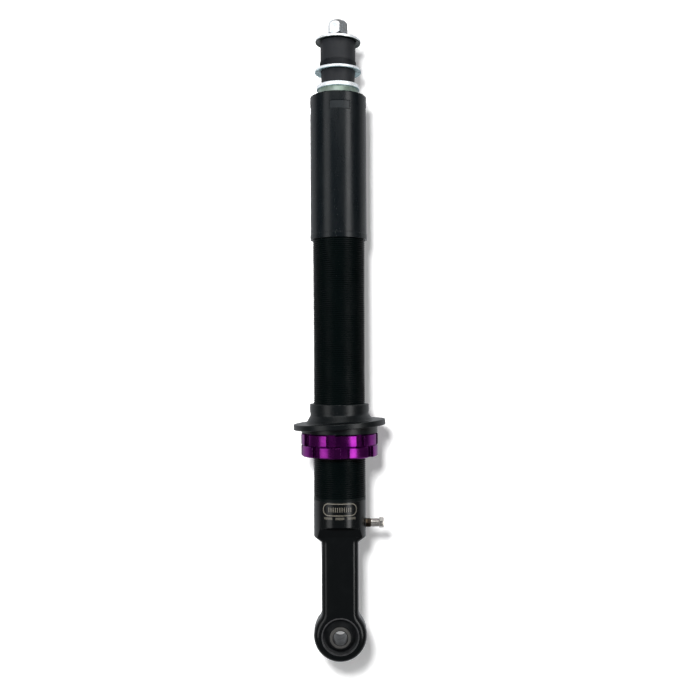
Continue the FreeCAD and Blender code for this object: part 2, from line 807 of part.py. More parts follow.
def stem():
    """Collar, washers, rubber bushes, spacer and locking nut on the stud, from the cover up."""
    collar_top = S.cover_top + S.collar_height
    turned("cover_collar", [
        (S.stud_hole, S.cover_top), (S.collar_bottom_radius, S.cover_top),
        (S.collar_top_radius, collar_top), (S.stud_hole, collar_top),
    ])
    washer = turned("bottom_washer", [
        (S.stud_hole, 0), (S.bottom_washer_radius, 0), (S.bottom_washer_radius, S.bottom_washer_edge),
        (S.lower_bush_foot, S.bottom_washer_crown), (S.stud_hole, S.bottom_washer_crown),
    ], z=collar_top)
    soften(washer, "Fillet", S.ring_edge, [
        (S.bottom_washer_radius, 0), (S.bottom_washer_radius, S.bottom_washer_edge)])

    crown = collar_top + S.bottom_washer_crown
    mid_flat = S.mid_washer_rim_z + S.mid_washer_dome
    top_flat = S.top_washer_rim_z + S.top_washer_dome - S.washer_ease
    spacer_hole = S.spacer_radius + S.ring_gap
    mid = (S.mid_washer_rim_z, S.mid_washer_radius, S.mid_washer_dome)
    top = (S.top_washer_rim_z, S.top_washer_radius, S.top_washer_dome)

    cup_washer("mid_washer", mid[0], mid[1], S.mid_washer_thick, mid[2], spacer_hole)
    tilted = cup_washer("top_washer", top[0], top[1], S.top_washer_thick, top[2], S.stud_hole + S.ring_gap)
    tilted.Placement.Rotation = Rotation(Vector(0, 1, 0), S.top_washer_tilt.value)

    turned("spacer_sleeve", ring_outline(S.stud_hole, S.spacer_radius, crown, top_flat))

    lower = turned("lower_bush", [
        (spacer_hole, crown), (S.lower_bush_foot, crown),
        (S.lower_bush_head, dish_height(S.lower_bush_head, *mid)),
        (S.washer_flat, mid_flat), (spacer_hole, mid_flat),
    ])
    soften(lower, "Fillet", S.ring_edge, [(S.lower_bush_foot, crown)])

    lip_under = dish_height(S.upper_bush_lip, *mid) + S.mid_washer_thick
    upper_edge = dish_height(S.upper_bush_radius, *top) - S.washer_ease * 2
    mid_crown = mid_flat + S.mid_washer_thick
    upper = turned("upper_bush", [
        (spacer_hole, mid_crown), (S.washer_flat, mid_crown), (S.upper_bush_lip, lip_under),
        (S.upper_bush_lip, S.upper_bush_lip_z), (S.upper_bush_radius, S.upper_bush_lip_z),
        (S.upper_bush_radius, upper_edge), (S.washer_flat, top_flat), (spacer_hole, top_flat),
    ])
    soften(upper, "Fillet", S.cover_lip, [(S.upper_bush_lip, S.upper_bush_lip_z)])
    top_nut()


def top_nut():
    """M12 locking nut: a hexagon with a coned crown, a chamfered foot and a nylon ring in it."""
    nut = new_body("top_nut", S.nut_bottom)
    outline = sketch_on(nut, "XY_Plane", "nut_hex")
    hexagon(outline, S.nut_flats)
    extrude(nut, outline, "Pad", S.nut_height)
    clear = S.nut_flats / math.sqrt(3)
    for name, rim, start, slope_end in (
            ("nut_crown", S.nut_crown_radius, S.nut_height, S.nut_height - S.nut_crown_height),
            ("nut_foot", S.nut_foot_radius, 0, S.nut_foot_height)):
        turn_profile(nut, [
            (rim, start), (clear, start), (clear, slope_end),
        ], kind="Groove", name=name)
    recess = S.nut_height - S.ring_edge
    turn_profile(nut, [
        (0, 0), (S.stud_radius, 0), (S.stud_radius, S.nut_insert_z),
        (S.nut_insert_radius, S.nut_insert_z), (S.nut_insert_radius, recess),
        (S.stud_radius, recess), (S.stud_radius, S.nut_height), (0, S.nut_height),
    ], kind="Groove", name="thread")
    nut.Placement.Rotation = Rotation(Vector(0, 0, 1), S.nut_turn.value)
    turned("nut_insert", ring_outline(
        S.stud_radius, S.nut_insert_radius, S.nut_insert_z, recess), z=S.nut_bottom)


# ---------------------------------------------------------------- spring seat and rings

def spring_seat():
    """Seat with a relieved pilot neck, a collar for the ring below and a flange that leans to -X."""
    body = turned("spring_seat", [
        (S.seat_bore, S.seat_bottom), (S.seat_collar, S.seat_bottom), (S.seat_collar, S.flange_z),
        (S.neck_root, S.flange_z), (S.neck_root, S.pilot_foot), (S.neck_radius, S.pilot_foot),
        (S.neck_radius, S.seat_top), (S.seat_bore, S.seat_top),
    ])
    sketch = sketch_on(body, "XZ_Plane", "flange_outline")
    sketch.AttachmentOffset = Placement(
        Vector(0, S.flange_z.value, 0), Rotation(Vector(0, 0, 1), S.flange_tilt.value))
    sketch.setExpression("AttachmentOffset.Base.y", S.flange_z.text)
    half = S.flange_thick / 2
    inner = (S.seat_bore + S.neck_radius) / 2
    flare_slope = S.flare_height / (S.flare_radius - S.neck_radius)
    draw(sketch, [
        (inner, -half), (S.flange_radius, -half), (S.flange_radius, half), (S.flare_radius, half),
        (inner, half + flare_slope * (S.flare_radius - inner)),
    ])
    flange = body.newObject("PartDesign::Revolution", "flange")
    flange.Profile = sketch
    flange.ReferenceAxis = (sketch, ["V_Axis"])
    flange.Angle = 360
    doc.recompute()

    neck_foot = edges_where(
        body.Tip.Shape,
        lambda p, e: near(math.hypot(p.x, p.y), S.neck_root.value)
        and not isinstance(e.Curve, (Part.Circle, Part.Line)))
    dress(body, "Fillet", neck_foot, S.flare_round, "neck_round")
    flare_foot = edges_where(
        body.Tip.Shape,
        lambda p, e: isinstance(e.Curve, Part.Circle) and near(e.Curve.Radius, S.flare_radius.value))
    dress(body, "Fillet", flare_foot, S.flare_round, "flare_round")
    rim = edges_where(
        body.Tip.Shape,
        lambda p, e: isinstance(e.Curve, Part.Circle) and near(e.Curve.Radius, S.flange_radius.value))
    dress(body, "Fillet", rim, S.ring_edge, "rim_round")
    soften(body, "Chamfer", S.ring_edge / 2, [(S.neck_radius, S.seat_top), (S.seat_collar, S.seat_bottom)])


def spanner_ring(label, bottom, height, turn):
    """A threaded ring with spanner notches cut right through its rim."""
    ring = turned(label, ring_outline(S.ring_bore, S.ring_radius, 0, height), z=bottom)
    soften(ring, "Chamfer", S.ring_edge, [
        (S.ring_radius, 0), (S.ring_radius, height), (S.ring_bore, 0), (S.ring_bore, height)])
    notch = sketch_on(ring, "XY_Plane", f"{label}_notch")
    half = S.notch_width / 2
    draw(notch, [
        (S.notch_floor, -half), (S.flange_radius, -half), (S.flange_radius, half), (S.notch_floor, half)])
    repeat(ring, cut(ring, notch, height, reverse=True), S.notch_count)
    ring.Placement.Rotation = Rotation(Vector(0, 0, 1), turn.value)


# ---------------------------------------------------------------- gas valve

def gas_valve():
    """Valve body with a hexagon base, its pin, and the screwed cap with its seal, all about X."""
    z = S.valve_z
    valve = turned("valve_body", [
        (S.valve_bore, S.valve_shank_x), (S.valve_shank, S.valve_shank_x),
        (S.valve_shank, S.valve_seat_x), (S.valve_base, S.valve_seat_x),
        (S.valve_base, S.valve_base_x), (S.valve_stem, S.valve_base_x),
        (S.valve_stem, S.valve_stem_x), (S.valve_bore, S.valve_stem_x),
    ], z, "X")
    flats = sketch_on(valve, "XY_Plane", "valve_flats", offset=S.valve_seat_x)
    circle(flats, 0, 0, S.valve_base * 2)
    hexagon(flats, S.valve_base_flats)
    cut(valve, flats, S.valve_base_x - S.valve_seat_x, reverse=True)

    seal = doc.addObject("Part::Torus", "valve_oring")
    seal.setExpression("Radius2", (S.cord_radius / 2).text)
    seal.setExpression("Radius1", (S.valve_spot - S.cord_radius / 2).text)
    seal.Placement = Placement(Vector(), Rotation(Vector(0, 1, 0), 90))
    seal.setExpression("Placement.Base.x", (S.valve_seat_x + S.cord_radius / 2).text)
    seal.setExpression("Placement.Base.z", z.text)

    pin_end = S.valve_stem_x - S.cap_gap
    turned("valve_pin", [
        (0, pin_end - S.pin_length), (S.pin_radius, pin_end - S.pin_length),
        (S.pin_radius, pin_end), (0, pin_end),
    ], z, "X")

    roof = S.cap_end_x - S.cap_roof
    cap = turned("valve_cap", [
        (0, roof), (S.cap_bore, roof), (S.cap_bore, S.valve_base_x + S.cap_gap),
        (S.cap_barrel, S.valve_base_x + S.cap_gap), (S.cap_barrel, S.cap_head_x),
        (S.cap_head, S.cap_head_x + S.cap_gap), (S.cap_head, S.cap_end_x), (0, S.cap_end_x),
    ], z, "X")
    soften(cap, "Chamfer", S.ring_edge, [(S.cap_head, S.cap_end_x)])
    grip = sketch_on(cap, "XY_Plane", "cap_flats", offset=S.cap_head_x)
    circle(grip, 0, 0, S.cap_head * 2)
    hexagon(grip, S.cap_head_flats)
    cut(cap, grip, S.cap_end_x - S.cap_head_x, reverse=True)

    seal_start = S.valve_stem_x + S.ring_gap * 2
    turned("cap_seal", ring_outline(
        S.valve_bore, S.cap_seal_radius, seal_start, seal_start + S.cap_seal_thick), z, "X")


# ---------------------------------------------------------------- build, check and write

lower_mount()
o_ring("mount_oring", S.mount_top + S.spigot_length / 2 + S.groove_height / 2)
eye_bush()
body_tube()
gland()
rod_and_piston()
floating_piston()
dust_cover()
bump_stop()
stem()
spring_seat()
spanner_ring("adjuster_ring", S.adjuster_bottom, S.adjuster_height, S.adjuster_turn)
spanner_ring("lock_ring", S.lock_bottom, S.lock_height, S.lock_turn)
gas_valve()
doc.recompute()

for item in doc.Objects:
    if "Invalid" in item.State or "Error" in item.State:
        raise RuntimeError(f"{item.Name} failed: {item.State}")

SUB_PARTS = [item for item in doc.Objects if item.TypeId in ("PartDesign::Body", "Part::Torus")]
for item in SUB_PARTS:
    if item.Shape.isNull() or not item.Shape.isValid() or len(item.Shape.Solids) != 1:
        raise RuntimeError(f"{item.Label} is not one valid solid")

os.makedirs("parts", exist_ok=True)
for item in SUB_PARTS:
    item.Shape.exportStep(f"parts/{item.Label}.step")
    print(item.Label, round(item.Shape.Volume / 1000, 2), "cm3")
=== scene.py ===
"""Looks of the coilover damper: finishes for every CAD part, a few finer pieces, and the studio."""
import math

import bmesh
import bpy
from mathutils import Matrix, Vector


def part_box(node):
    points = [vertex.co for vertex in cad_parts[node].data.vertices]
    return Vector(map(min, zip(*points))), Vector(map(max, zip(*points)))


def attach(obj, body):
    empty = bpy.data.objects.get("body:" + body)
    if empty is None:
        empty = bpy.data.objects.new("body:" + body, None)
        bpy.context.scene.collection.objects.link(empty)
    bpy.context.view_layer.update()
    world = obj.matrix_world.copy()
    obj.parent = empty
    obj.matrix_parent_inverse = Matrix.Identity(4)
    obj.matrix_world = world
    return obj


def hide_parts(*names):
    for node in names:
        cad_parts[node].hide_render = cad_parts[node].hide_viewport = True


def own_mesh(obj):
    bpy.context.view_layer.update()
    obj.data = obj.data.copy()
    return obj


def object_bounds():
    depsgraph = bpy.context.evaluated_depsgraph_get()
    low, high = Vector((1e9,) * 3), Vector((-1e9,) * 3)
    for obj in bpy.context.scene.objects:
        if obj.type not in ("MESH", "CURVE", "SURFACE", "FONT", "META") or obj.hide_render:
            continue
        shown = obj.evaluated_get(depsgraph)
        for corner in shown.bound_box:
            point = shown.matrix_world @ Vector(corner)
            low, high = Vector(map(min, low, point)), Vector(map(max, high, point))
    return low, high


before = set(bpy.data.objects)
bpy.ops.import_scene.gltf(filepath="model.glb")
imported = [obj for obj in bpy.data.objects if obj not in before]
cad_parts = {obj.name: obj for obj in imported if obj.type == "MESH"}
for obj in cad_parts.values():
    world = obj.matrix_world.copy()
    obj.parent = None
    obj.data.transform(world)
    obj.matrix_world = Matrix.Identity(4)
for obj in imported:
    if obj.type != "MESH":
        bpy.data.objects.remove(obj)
cad_low, cad_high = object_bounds()

MM = 0.001
UP = (0, 0, 1)
ACROSS = (0, 1, 0)
OUTWARD = (1, 0, 0)
VALVE_CENTRE = tuple((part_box("valve_cap")[0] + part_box("valve_cap")[1]) / 2)
BODY_RADIUS = 26 * MM


# ---------------------------------------------------------------- finishes

class Finish:
    """One procedural material: a Principled shader and its nodes. Lengths are in metres."""

    def __init__(self, name, **shader):
        self.slot = name
        self.material = bpy.data.materials.new(name + "_finish")
        self.material.use_nodes = True
        self.tree = self.material.node_tree
        self.shader = self.tree.nodes["Principled BSDF"]
        self.point = self.add("TexCoord").outputs["Object"]
        self.set(**shader)

    def set(self, **shader):
        """Socket names are written with underscores, such as Base_Color."""
        for name, value in shader.items():
            self.feed(self.shader.inputs[name.replace("_", " ")], value)

    def feed(self, socket, value):
        if isinstance(value, bpy.types.NodeSocket):
            self.tree.links.new(value, socket)
        elif socket.type == "RGBA":
            socket.default_value = (*value, 1)
        else:
            socket.default_value = value

    def add(self, kind, inputs=None, **settings):
        made = self.tree.nodes.new("ShaderNode" + kind)
        for name, value in settings.items():
            setattr(made, name, value)
        for name, value in (inputs or {}).items():
            self.feed(made.inputs[name], value)
        return made

    def math(self, operation, first, second=0.0):
        return self.add("Math", {0: first, 1: second}, operation=operation).outputs[0]

    def vector(self, operation, first, second=(0, 0, 0)):
        made = self.add("VectorMath", {0: first, 1: second}, operation=operation)
        return made.outputs["Value" if operation in ("LENGTH", "DOT_PRODUCT") else "Vector"]

    def noise(self, size, detail=3, stretch=(1, 1, 1)):
        """Soft blotches about this size, drawn out along the axes with a small stretch."""
        place = self.vector("MULTIPLY", self.point, stretch)
        made = self.add("TexNoise", {"Vector": place, "Scale": 1 / size, "Detail": detail})
        return made.outputs["Fac"]

    def cells(self, size):
        """Distance to the nearest of many scattered points, in cells."""
        return self.add("TexVoronoi", {"Vector": self.point, "Scale": 1 / size}).outputs["Distance"]

    def spread(self, value, low, high, out_low=0.0, out_high=1.0):
        """A smooth step from out_low to out_high as the value goes from low to high."""
        sockets = {
            "Value": value, "From Min": low, "From Max": high,
            "To Min": out_low, "To Max": out_high,
        }
        return self.add("MapRange", sockets, interpolation_type="SMOOTHSTEP").outputs["Result"]

    def blend(self, factor, first, second):
        made = self.add("Mix", data_type="RGBA")
        for place, value in ((0, factor), (6, first), (7, second)):
            self.feed(made.inputs[place], value)
        return made.outputs[2]

    def off_axis(self, axis, centre=(0, 0, 0)):
        """How far a point lies along an axis and how far it is from that axis."""
        from_centre = self.vector("SUBTRACT", self.point, centre)
        along = self.vector("DOT_PRODUCT", from_centre, axis)
        radius = self.vector("LENGTH", self.vector("CROSS_PRODUCT", from_centre, axis))
        return along, radius

    def tool_marks(self, pitch, axis=UP, centre=(0, 0, 0)):
        """Rings left by a lathe: they follow the axis on a wall and the radius on a face."""
        along, radius = self.off_axis(axis, centre)
        step = self.math("ADD", along, radius)
        sockets = {"W": step, "Scale": 1 / pitch, "Detail": 2}
        rings = self.add("TexNoise", sockets, noise_dimensions="1D")
        return rings.outputs["Fac"]

    def bevel(self, radius):
        """A normal that rounds every sharp edge by this radius."""
        return self.add("Bevel", {"Radius": radius}, samples=6).outputs["Normal"]

    def edges(self, radius, rough):
        """1 along sharp edges and 0 elsewhere, broken up so that it reads as wear."""
        normal = self.add("NewGeometry").outputs["Normal"]
        turned = self.vector("DOT_PRODUCT", self.bevel(radius), normal)
        worn = self.spread(turned, 0.99, 0.86)
        patchy = self.spread(self.noise(3 * MM, 4), rough, rough + 0.25)
        return self.math("MULTIPLY", worn, patchy)

    def relief(self, height, depth, normal=None):
        """A bump of this depth, on top of another normal if there is one."""
        sockets = {"Height": height, "Distance": depth}
        if normal is not None:
            sockets["Normal"] = normal
        self.set(Normal=self.add("Bump", sockets).outputs["Normal"])

    def coat(self):
        """Whatever drives the base colour so far."""
        return self.shader.inputs["Base Color"].links[0].from_socket

    def height(self):
        return self.add("SeparateXYZ", {0: self.point}).outputs["Z"]


def bar(finish, across, up, middle, half_width, half_height, corner):
    """Signed distance to a rounded bar drawn on a wall: below zero inside it."""
    side = finish.math("SUBTRACT", finish.math("ABSOLUTE", across), half_width - corner)
    above = finish.math("ABSOLUTE", finish.math("SUBTRACT", up, middle))
    lift = finish.math("SUBTRACT", above, half_height - corner)
    outer = finish.add("CombineXYZ", {
        0: finish.math("MAXIMUM", side, 0), 1: finish.math("MAXIMUM", lift, 0)}).outputs[0]
    inner = finish.math("MINIMUM", finish.math("MAXIMUM", side, lift), 0)
    distance = finish.math("ADD", finish.vector("LENGTH", outer), inner)
    return finish.math("SUBTRACT", distance, corner)


def etched_mark(finish):
    """An etched plate outline with graduations in it and dashes below, on the socket's front."""
    x, y, z = finish.add("SeparateXYZ", {0: finish.point}).outputs
    turn = finish.math("ARCTAN2", x, finish.math("MULTIPLY", y, -1))
    across = finish.math("MULTIPLY", turn, BODY_RADIUS)
    plate_z, dash_z = 127.2 * MM, 118.7 * MM
    sharp = 0.2 * MM

    def inside(middle, half_width, half_height):
        shape = bar(finish, across, z, middle, half_width, half_height, sharp)
        return finish.spread(shape, 0.1 * MM, 0)

    plate = bar(finish, across, z, plate_z, 17.5 * MM, 5.7 * MM, 5.6 * MM)
    outline = finish.spread(finish.math("ABSOLUTE", plate), 0.55 * MM, 0.35 * MM)
    tick = finish.spread(finish.math("PINGPONG", across, 1.1 * MM), 0.45 * MM, 0.3 * MM)
    ticks = finish.math("MULTIPLY", tick, inside(plate_z, 12 * MM, 2.2 * MM))
    dash = finish.spread(finish.math("PINGPONG", across, 6 * MM), 4.6 * MM, 4.3 * MM, 0, 0.5)
    dashes = finish.math("MULTIPLY", dash, inside(dash_z, 16.5 * MM, 1.1 * MM))
    drawn = finish.math("MAXIMUM", outline, finish.math("MAXIMUM", ticks, dashes))
    facing = finish.spread(y, 0, -5 * MM)
    faded = finish.spread(finish.noise(0.9 * MM, 2), 0.25, 0.6, 0.6, 1)
    return finish.math("MULTIPLY", finish.math("MULTIPLY", drawn, facing), faded)


def black_metal(name, colour, roughness, grain, grain_depth):
    """A black coat on steel: uneven gloss, fine grain, dust, and bare metal at rubbed edges."""
    made = Finish(name, Metallic=0.0, Specular_IOR_Level=0.5)
    bare = (0.16, 0.16, 0.17)
    wear = made.math("MULTIPLY", made.edges(0.5 * MM, 0.52), 0.7)
    dust = made.spread(made.noise(14 * MM, 5), 0.5, 0.8, 0, 0.35)
    body = made.blend(dust, colour, tuple(c * 1.6 + 0.002 for c in colour))
    made.set(Base_Color=made.blend(wear, body, bare))
    smear = made.noise(9 * MM, 4, (1, 1, 0.25))
    made.set(Roughness=made.spread(smear, 0.35, 0.7, roughness - 0.02, roughness + 0.05))
    made.relief(made.noise(grain, 2), grain_depth, made.bevel(0.35 * MM))
    return made


def bare_metal(name, colour, roughness, pitch, axis=UP, centre=(0, 0, 0), depth=0.004 * MM,
               stain=None, metallic=1.0):
    """Metal off a lathe or out of a plating bath: fine rings, stains and small scratches."""
    made = Finish(name, Metallic=metallic)
    cloud = made.spread(made.noise(5 * MM, 5), 0.35, 0.7)
    made.set(Base_Color=made.blend(cloud, colour, stain or tuple(c * 0.8 for c in colour)))
    rings = made.tool_marks(pitch, axis, centre)
    uneven = made.math("ADD", made.math("MULTIPLY", rings, 0.12), made.math("MULTIPLY", cloud, 0.1))
    made.set(Roughness=made.math("ADD", uneven, roughness - 0.11))
    scratched = made.math("ADD", rings, made.math("MULTIPLY", made.noise(0.5 * MM, 3), 0.5))
    made.relief(scratched, depth, made.bevel(0.2 * MM))
    return made


def anodised(name, colour, deep, roughness, metallic):
    """Dyed anodising on turned aluminium: rings, deeper dye in patches and pale rubbed edges."""
    made = Finish(name, Metallic=metallic, Specular_IOR_Level=0.6)
    cloud = made.spread(made.noise(11 * MM, 4), 0.3, 0.75)
    rubbed = made.math("MULTIPLY", made.edges(0.35 * MM, 0.45), 0.55)
    pale = tuple(0.45 * c + 0.3 for c in colour)
    rings = made.tool_marks(0.28 * MM)
    dyed = made.blend(cloud, colour, deep)
    made.set(Base_Color=made.blend(rubbed, dyed, pale))
    made.set(Roughness=made.math("ADD", made.math("MULTIPLY", rings, 0.16), roughness - 0.08))
    made.relief(rings, 0.006 * MM, made.bevel(0.3 * MM))
    return made


def moulded(name, colour, roughness, grain, depth, bloom=1.5):
    """Moulded rubber or plastic: a fine grain, a faint bloom and scuffs."""
    made = Finish(name, Metallic=0.0)
    cloud = made.spread(made.noise(6 * MM, 5), 0.35, 0.75)
    scuff = made.spread(made.noise(1.2 * MM, 3, (1, 1, 5)), 0.62, 0.75, 0, 0.4)
    spots = made.math("MAXIMUM", made.math("MULTIPLY", cloud, 0.6), scuff)
    made.set(Base_Color=made.blend(spots, colour, tuple(c * bloom for c in colour)))
    made.set(Roughness=made.spread(cloud, 0, 1, roughness, roughness + 0.12))
    made.relief(made.noise(grain, 3), depth, made.bevel(0.25 * MM))
    return made


def stem_rubber():
    """Rubber of the stem bushes, with painted shade: a dark band on the lip round the foot of the
    upper one.
    """
    made = moulded("bush_rubber", (0.009, 0.0098, 0.0115), 0.52, 0.35 * MM, 0.02 * MM, bloom=1.6)
    lip_low, lip_high, fade = 563 * MM, 571 * MM, 0.8 * MM
    height = made.height()
    below_top = made.spread(height, lip_high, lip_high - fade)
    lip_shade = made.math("MULTIPLY", below_top, made.spread(height, lip_low, lip_low + fade))
    # painted shade: the lip round the upper bush's foot is darkened as if it lay in shadow
    made.set(Base_Color=made.blend(lip_shade, made.coat(), (0.0006, 0.0014, 0.0028)))
    return made


def threaded_steel():
    """Black plating on the threaded tube: dark in the roots, rubbed along the crests."""
    made = Finish("dark_thread", Metallic=0.0, Specular_IOR_Level=0.2)
    root, rub = (0.0008, 0.0022, 0.0023), (0.004, 0.0056, 0.0058)
    radius = made.off_axis(UP)[1]
    crest = made.spread(radius, BODY_RADIUS - 0.2 * MM, BODY_RADIUS)
    patches = made.spread(made.noise(18 * MM, 5, (1, 1, 0.3)), 0.42, 0.72)
    rubbed = made.math("MULTIPLY", made.math("MULTIPLY", crest, patches), 0.6)
    made.set(Base_Color=made.blend(rubbed, root, rub))
    gloss = made.noise(7 * MM, 4, (1, 1, 0.4))
    made.set(Roughness=made.spread(gloss, 0.35, 0.7, 0.3, 0.46))
    made.relief(made.noise(0.3 * MM, 2), 0.004 * MM)
    return made


def forging():
    """The lower mount: black electro-coat over a forged and machined body, with an etched mark."""
    made = black_metal("coated_forging", (0.0022, 0.0028, 0.0031), 0.22, 0.9 * MM, 0.008 * MM)
    made.set(Base_Color=made.blend(etched_mark(made), made.coat(), (0.15, 0.14, 0.115)))
    return made


def zinc(name, roughness, metallic):
    """Bright passivated zinc, with painted shade on the undersides: a little duller under the
    middle washer and dark green under the top one.
    """
    bright, blue, straw = (0.93, 0.95, 0.97), (0.84, 0.9, 0.95), (0.9, 0.9, 0.82)
    mid_shade, top_shade = (0.34, 0.47, 0.5), (0.004, 0.016, 0.013)
    mid_high, top_low = 568 * MM, 580 * MM
    made = bare_metal(name, bright, roughness, 0.35 * MM, stain=blue, metallic=metallic)
    patches = made.spread(made.noise(9 * MM, 3), 0.58, 0.78, 0, 0.5)
    passivated = made.blend(patches, made.coat(), straw)
    normal = made.add("SeparateXYZ", {0: made.add("NewGeometry").outputs["Normal"]})
    # painted shade: faces turned downwards are darkened, a little under the middle washer and to
    # dark green under the top one
    underside_shade = made.spread(normal.outputs["Z"], -0.1, -0.6)
    shade_tint = made.blend(made.spread(made.height(), mid_high, top_low), mid_shade, top_shade)
    made.set(Base_Color=made.blend(underside_shade, passivated, shade_tint))
    return made


def sleeve_steel():
    """Steel of the eye's sleeves, with painted shade darkening the inside of the bolt's bore."""
    made = bare_metal("grey_steel", (0.1, 0.098, 0.094), 0.34, 0.3 * MM, ACROSS,
                      depth=0.01 * MM, metallic=0.4)
    # painted shade: the wall of the bolt's bore is darkened as if it lay in shadow
    bore_shade = made.spread(made.off_axis(ACROSS)[1], 7.9 * MM, 7.3 * MM)
    made.set(Base_Color=made.blend(bore_shade, made.coat(), (0.007, 0.007, 0.007)))
    return made


def foam():
    """Cellular polyurethane: open cells with painted shade in their pits, yellowed in patches."""
    made = Finish("foam", Metallic=0.0, Subsurface_Weight=0.08)
    made.shader.inputs["Subsurface Radius"].default_value = (0.002, 0.0015, 0.0008)
    cell = made.cells(0.9 * MM)
    cloud = made.spread(made.noise(8 * MM, 4), 0.35, 0.7)
    skin = made.blend(cloud, (0.62, 0.54, 0.27), (0.5, 0.4, 0.17))
    # painted shade: the sunken middles of the cells are darkened as if in shadow
    pit_shade = made.spread(cell, 0.25, 0.05, 0, 0.7)
    made.set(Base_Color=made.blend(pit_shade, skin, (0.22, 0.16, 0.06)), Roughness=0.85)
    made.relief(cell, 0.12 * MM)
    return made


EYE_RUBBER = moulded("eye_rubber", (0.004, 0.0045, 0.005), 0.4, 0.35 * MM, 0.02 * MM, bloom=1.9)
FINISHES = {made.slot: made for made in (
    threaded_steel(),
    forging(),
    zinc("zinc", 0.3, 0.5),
    zinc("nut_zinc", 0.2, 0.9),
    foam(),
    bare_metal("zinc_collar", (0.2, 0.27, 0.22), 0.34, 0.4 * MM,
               stain=(0.3, 0.36, 0.33), metallic=0.6),
    bare_metal("machined_aluminium", (0.78, 0.79, 0.81), 0.3, 0.25 * MM),
    bare_metal("spring_steel", (0.38, 0.39, 0.41), 0.28, 0.2 * MM),
    bare_metal("bronze", (0.12, 0.09, 0.06), 0.4, 0.3 * MM, OUTWARD, VALVE_CENTRE,
               stain=(0.03, 0.024, 0.02)),
    sleeve_steel(),
    bare_metal("hard_chrome", (0.72, 0.73, 0.75), 0.12, 0.1 * MM, depth=0.001 * MM),
    bare_metal("nickel", (0.92, 0.88, 0.82), 0.2, 0.25 * MM, OUTWARD, VALVE_CENTRE, metallic=0.9),
    bare_metal("dark_steel", (0.09, 0.09, 0.095), 0.4, 0.35 * MM, ACROSS,
               stain=(0.05, 0.05, 0.052), metallic=0.5),
    black_metal("cover_shell", (0.0012, 0.0026, 0.0036), 0.27, 0.45 * MM, 0.005 * MM),
    anodised("purple_anodised", (0.33, 0.03, 0.34), (0.2, 0.01, 0.23), 0.22, 1.0),
    anodised("black_anodised", (0.0018, 0.003, 0.0036), (0.0008, 0.0016, 0.002), 0.34, 0.1),
    stem_rubber(),
    moulded("nitrile", (0.008, 0.008, 0.009), 0.32, 0.3 * MM, 0.006 * MM),
    moulded("black_plastic", (0.006, 0.008, 0.0095), 0.36, 0.5 * MM, 0.01 * MM),
    moulded("nylon", (0.7, 0.72, 0.74), 0.35, 0.6 * MM, 0.008 * MM, bloom=0.92),
    moulded("slide_band", (0.16, 0.09, 0.045), 0.4, 0.25 * MM, 0.008 * MM, bloom=1.4),
)}


def finish_for(piece, slot):
    piece.data.materials.clear()
    piece.data.materials.append(FINISHES[slot].material)


# ---------------------------------------------------------------- finer pieces

def join(mesh, first, second):
    """A band of faces between two rings of as many points."""
    for side in range(len(first)):
        after = (side + 1) % len(first)
        mesh.faces.new((first[side], first[after], second[after], second[side]))


def turned_rings(name, rings, sides, place):
    """A closed solid from a loop of rings: each gives (along, radius) for a turn."""
    mesh = bmesh.new()
    turns = [2 * math.pi * side / sides for side in range(sides)]
    loops = [[mesh.verts.new(place(turn, *ring(turn))) for turn in turns] for ring in rings]
    for first, second in zip(loops, loops[1:] + loops[:1]):
        join(mesh, first, second)
    return finished(name, mesh)


def finished(name, mesh, crease=35):
    """Turns a bmesh into an object, shaded smooth up to the crease angle."""
    bmesh.ops.remove_doubles(mesh, verts=mesh.verts, dist=0.001 * MM)
    bmesh.ops.recalc_face_normals(mesh, faces=mesh.faces)
    data = bpy.data.meshes.new(name)
    mesh.to_mesh(data)
    mesh.free()
    data.shade_smooth()
    data.set_sharp_from_angle(angle=math.radians(crease))
    piece = bpy.data.objects.new(name, data)
    bpy.context.scene.collection.objects.link(piece)
    return piece


def stand_for(piece, node, slot, body):
    """The piece replaces a CAD node, in its slot's finish, and moves with its body."""
    finish_for(piece, slot)
    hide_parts(node)
    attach(piece, body)


def about_z(turn, along, radius):
    return Vector((radius * math.cos(turn), radius * math.sin(turn), along))


def about_valve(turn, along, radius):
    return Vector((along, radius * math.cos(turn), VALVE_CENTRE[2] + radius * math.sin(turn)))


